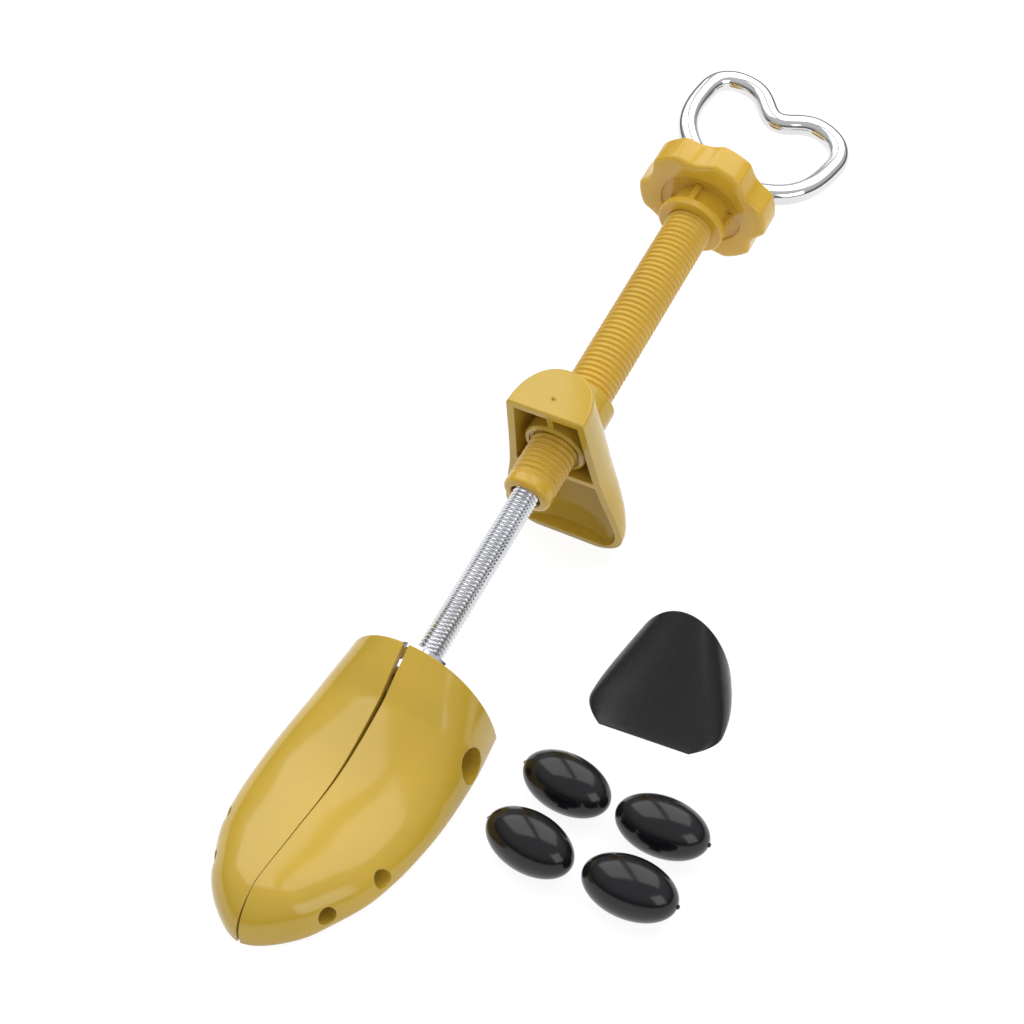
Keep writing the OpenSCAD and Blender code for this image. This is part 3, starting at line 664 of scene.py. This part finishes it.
# ---------------------------------------------------------------- heel block
# A moulded heel: flat D-shaped top, a hub for the tube with a rib up to the roof, a shelf
# below it and an open scoop whose wall curves forward to a rim on the table.
BLOCK, BLOCK_LEAN = 76.1, math.radians(-3.2)
LOW = -(LINE + BLOCK * math.sin(RISE)) / math.cos(RISE)
HW = np.array([[LOW - 0.2, 7.5], [LOW + 1.5, 13.6], [LOW + 4, 17.5], [LOW + 8, 19.9],
               [LOW + 12, 20.0], [LOW + 18, 18.9], [-10, 15.6], [18.9, 12.5]])
HD = np.array([[LOW - 0.2, 3.4], [LOW + 2.2, 6.4], [LOW + 8, 11.2], [LOW + 16, 15.6],
               [-10, 17.8], [18.9, 17]])


def heel_skin(name, inset, z0, z1, front, rows, round_top=0.0):
    """Sections at height z: straight front, near-elliptical back of half width w and depth d.
    The top rows draw in by a small rounding."""
    z = np.linspace(z0, z1, rows)
    if round_top:
        q = np.linspace(0, np.pi / 2, 8)
        z = np.linspace(z0, z1 - round_top, rows)
        z = np.concatenate([z, z1 - round_top + round_top * np.sin(q[1:])])
        shrink = np.concatenate([np.zeros(rows), round_top * (1 - np.cos(q[1:]))])
    else:
        shrink = np.zeros(rows)
    w = (curve(HW, z) - inset - shrink)[:, None]
    d = (curve(HD, z) - inset - shrink)[:, None]
    a = np.linspace(0, np.pi, 73)[None]
    x = w * np.sign(np.cos(a)) * np.abs(np.cos(a)) ** 0.87
    y = d * np.sin(a) ** 0.87
    f = front + shrink[:, None]
    x = np.hstack([w, x, -w])
    y = np.hstack([f + 0 * w, np.maximum(y, f + 0.01), f + 0 * w])
    zz = np.broadcast_to(z[:, None], x.shape)
    c, s = math.cos(BLOCK_LEAN), math.sin(BLOCK_LEAN)
    return skin(name, on_line(x, BLOCK + y * c - zz * s, y * s + zz * c))


o = heel_skin("heel_block_shell", 0.0, LOW + 0.4, 18.9, -0.02, 70, 0.9)
combine(o, [heel_skin("u", 2.4, -8.5, 16.5, -3, 24),
            heel_skin("v", 2.4, LOW + 2.6, -10.5, -3, 30)], "DIFFERENCE")
combine(o, [lathe("hub", [(BLOCK + 1.6, 0), (BLOCK + 1.6, 9.4), (BLOCK + 2.1, 9.9),
                          (BLOCK + 20.9, 9.9), (BLOCK + 21.4, 9.4), (BLOCK + 21.4, 0)]),
            box("rib", (-0.9, BLOCK + 2.4, 0), (0.9, BLOCK + 15.4, 17.4), line=True)], "UNION")
combine(o, [lathe("bore", [(BLOCK - 5, 0), (BLOCK - 5, 7.56), (BLOCK + 30, 7.56), (BLOCK + 30, 0)]),
            lathe("mouth", [(BLOCK, 0), (BLOCK, 8.4), (BLOCK + 2.2, 8.4), (BLOCK + 2.2, 0)]),
            box("below", (-50, MOUTH, -60), (50, MOUTH + 200, 0))], "DIFFERENCE")
gate = skin("gate", np.stack([on_line(r * np.cos(t), BLOCK + 6.8 + r * np.sin(t), 18.6 + h)
                              for r, h in ((0.55, 0), (0.5, 0.55), (0.3, 0.75), (0.05, 0.8))]))
combine(o, [gate], "UNION")
finish_piece(o, "heel", mustard, "heel_block")

# ---------------------------------------------------------------- oval relief pads
# Four glossy black egg-shaped pads lie beside the forefoot, each with a parting line round
# its long way, a nipped-off gate at one end, and a plug hidden behind.
PAD_R, PAD_HALF, PLUG_TILT = 7.98, 13.0, math.radians(120)
down = (0, math.sin(PLUG_TILT), math.cos(PLUG_TILT))
a = np.linspace(-math.pi / 2 + 0.012, math.pi / 2 - 0.012, 81)[:, None]
b = np.linspace(0, 2 * np.pi, 96, endpoint=False)[None]
parting = 1 + 0.006 * np.exp(-((np.abs(np.sin(b - 0.5)) / 0.02) ** 2))
r = PAD_R * np.cos(a) * parting
egg = np.stack([PAD_HALF * np.sin(a) + 0 * b, r * np.cos(b), r * np.sin(b)], -1)
t = np.linspace(0, 2 * np.pi, 32, endpoint=False)
for name, x, y, angle, end in (("oval_pad_1", 50.3, -9.1, -4, -1),
                               ("oval_pad_2", 51.2, -30.6, -7, -1),
                               ("oval_pad_3", 78.6, -9.4, 3, 1),
                               ("oval_pad_4", 80.0, -30.4, 3, 1)):
    o = skin(name + "_shell", egg)
    rings = [np.column_stack([np.full(32, end * v), rr * np.cos(t), rr * np.sin(t)])
             for v, rr in ((12.6, 0.75), (13.2, 0.62), (13.5, 0.45), (13.55, 0.05))]
    nib = skin("nib", np.stack(rings))
    plug = rod("plug", tuple(4 * v for v in down), down, 2.3, 6.6)
    combine(o, [nib, plug], "UNION")
    o.data.transform(Matrix.Translation((x / 1000, (MOUTH + y) / 1000, 0.008))
                     @ Matrix.Rotation(math.radians(angle), 4, "Z"))
    finish_piece(o, name.replace("oval_", ""), black, name)

# ---------------------------------------------------------------- instep pad
# A black saddle with a feather edge in front that rises to an open arch behind; satin
# outside, with a soft rounded rim.


SADDLE_HALF, SADDLE_LEN, WIDEST = 19.8, 29.2, 0.32


def saddle(name, v, inset, drop):
    """Arches at shares v of its length: half width by a rounded plan, widest at v = 0.32,
    height growing almost evenly from a thin front, both drawn in by inset."""
    front = 1 - 0.327 * (np.maximum(0, WIDEST - v) / WIDEST) ** 1.82
    rear = 1 - 0.236 * (np.maximum(0, v - WIDEST) / (1 - WIDEST)) ** 2
    w = (SADDLE_HALF * np.where(v < WIDEST, front, rear) - inset)[:, None]
    h = np.maximum(0.4, 0.8 + 21.9 * v**1.09 - inset)[:, None]
    a = np.linspace(np.pi, 0, 65)[None]
    x = w * np.cos(a)
    z = h * np.maximum(0, np.sin(a)) ** 1.2 - drop
    y = np.broadcast_to(2.2 + SADDLE_LEN * v[:, None], x.shape)
    return skin(name, np.stack([x, y, z], -1))


o = saddle("instep_pad_shell", np.linspace(0, 1, 70) ** 1.4, 0.0, 0.0)
inner = saddle("inner", 0.16 + np.linspace(0, 1, 48), 2.2, 0.5)
combine(o, [inner], "DIFFERENCE")
o.data.transform(Matrix.Translation((0.0583, (MOUTH + 18.6) / 1000, 0))
                 @ Matrix.Rotation(math.radians(5.0), 4, "Z"))
finish_piece(o, "instep", soft_black, "instep_pad")

# ---------------------------------------------------------------- steel fittings
# The wedge, strap, pins, washers, lock nut, socket and the closing spring keep the
# frame's own shapes; only their finish is added.
for name in ("spreader_wedge", "toe_pin", "toe_strap", "rod_washer", "rod_lock_nut",
             "closing_spring", "thrust_socket", "roll_pin", "heart_pin", "thrust_washer_front",
             "thrust_washer_rear"):
    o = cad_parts[name]
    o.data.materials.clear()
    o.data.materials.append(zinc)
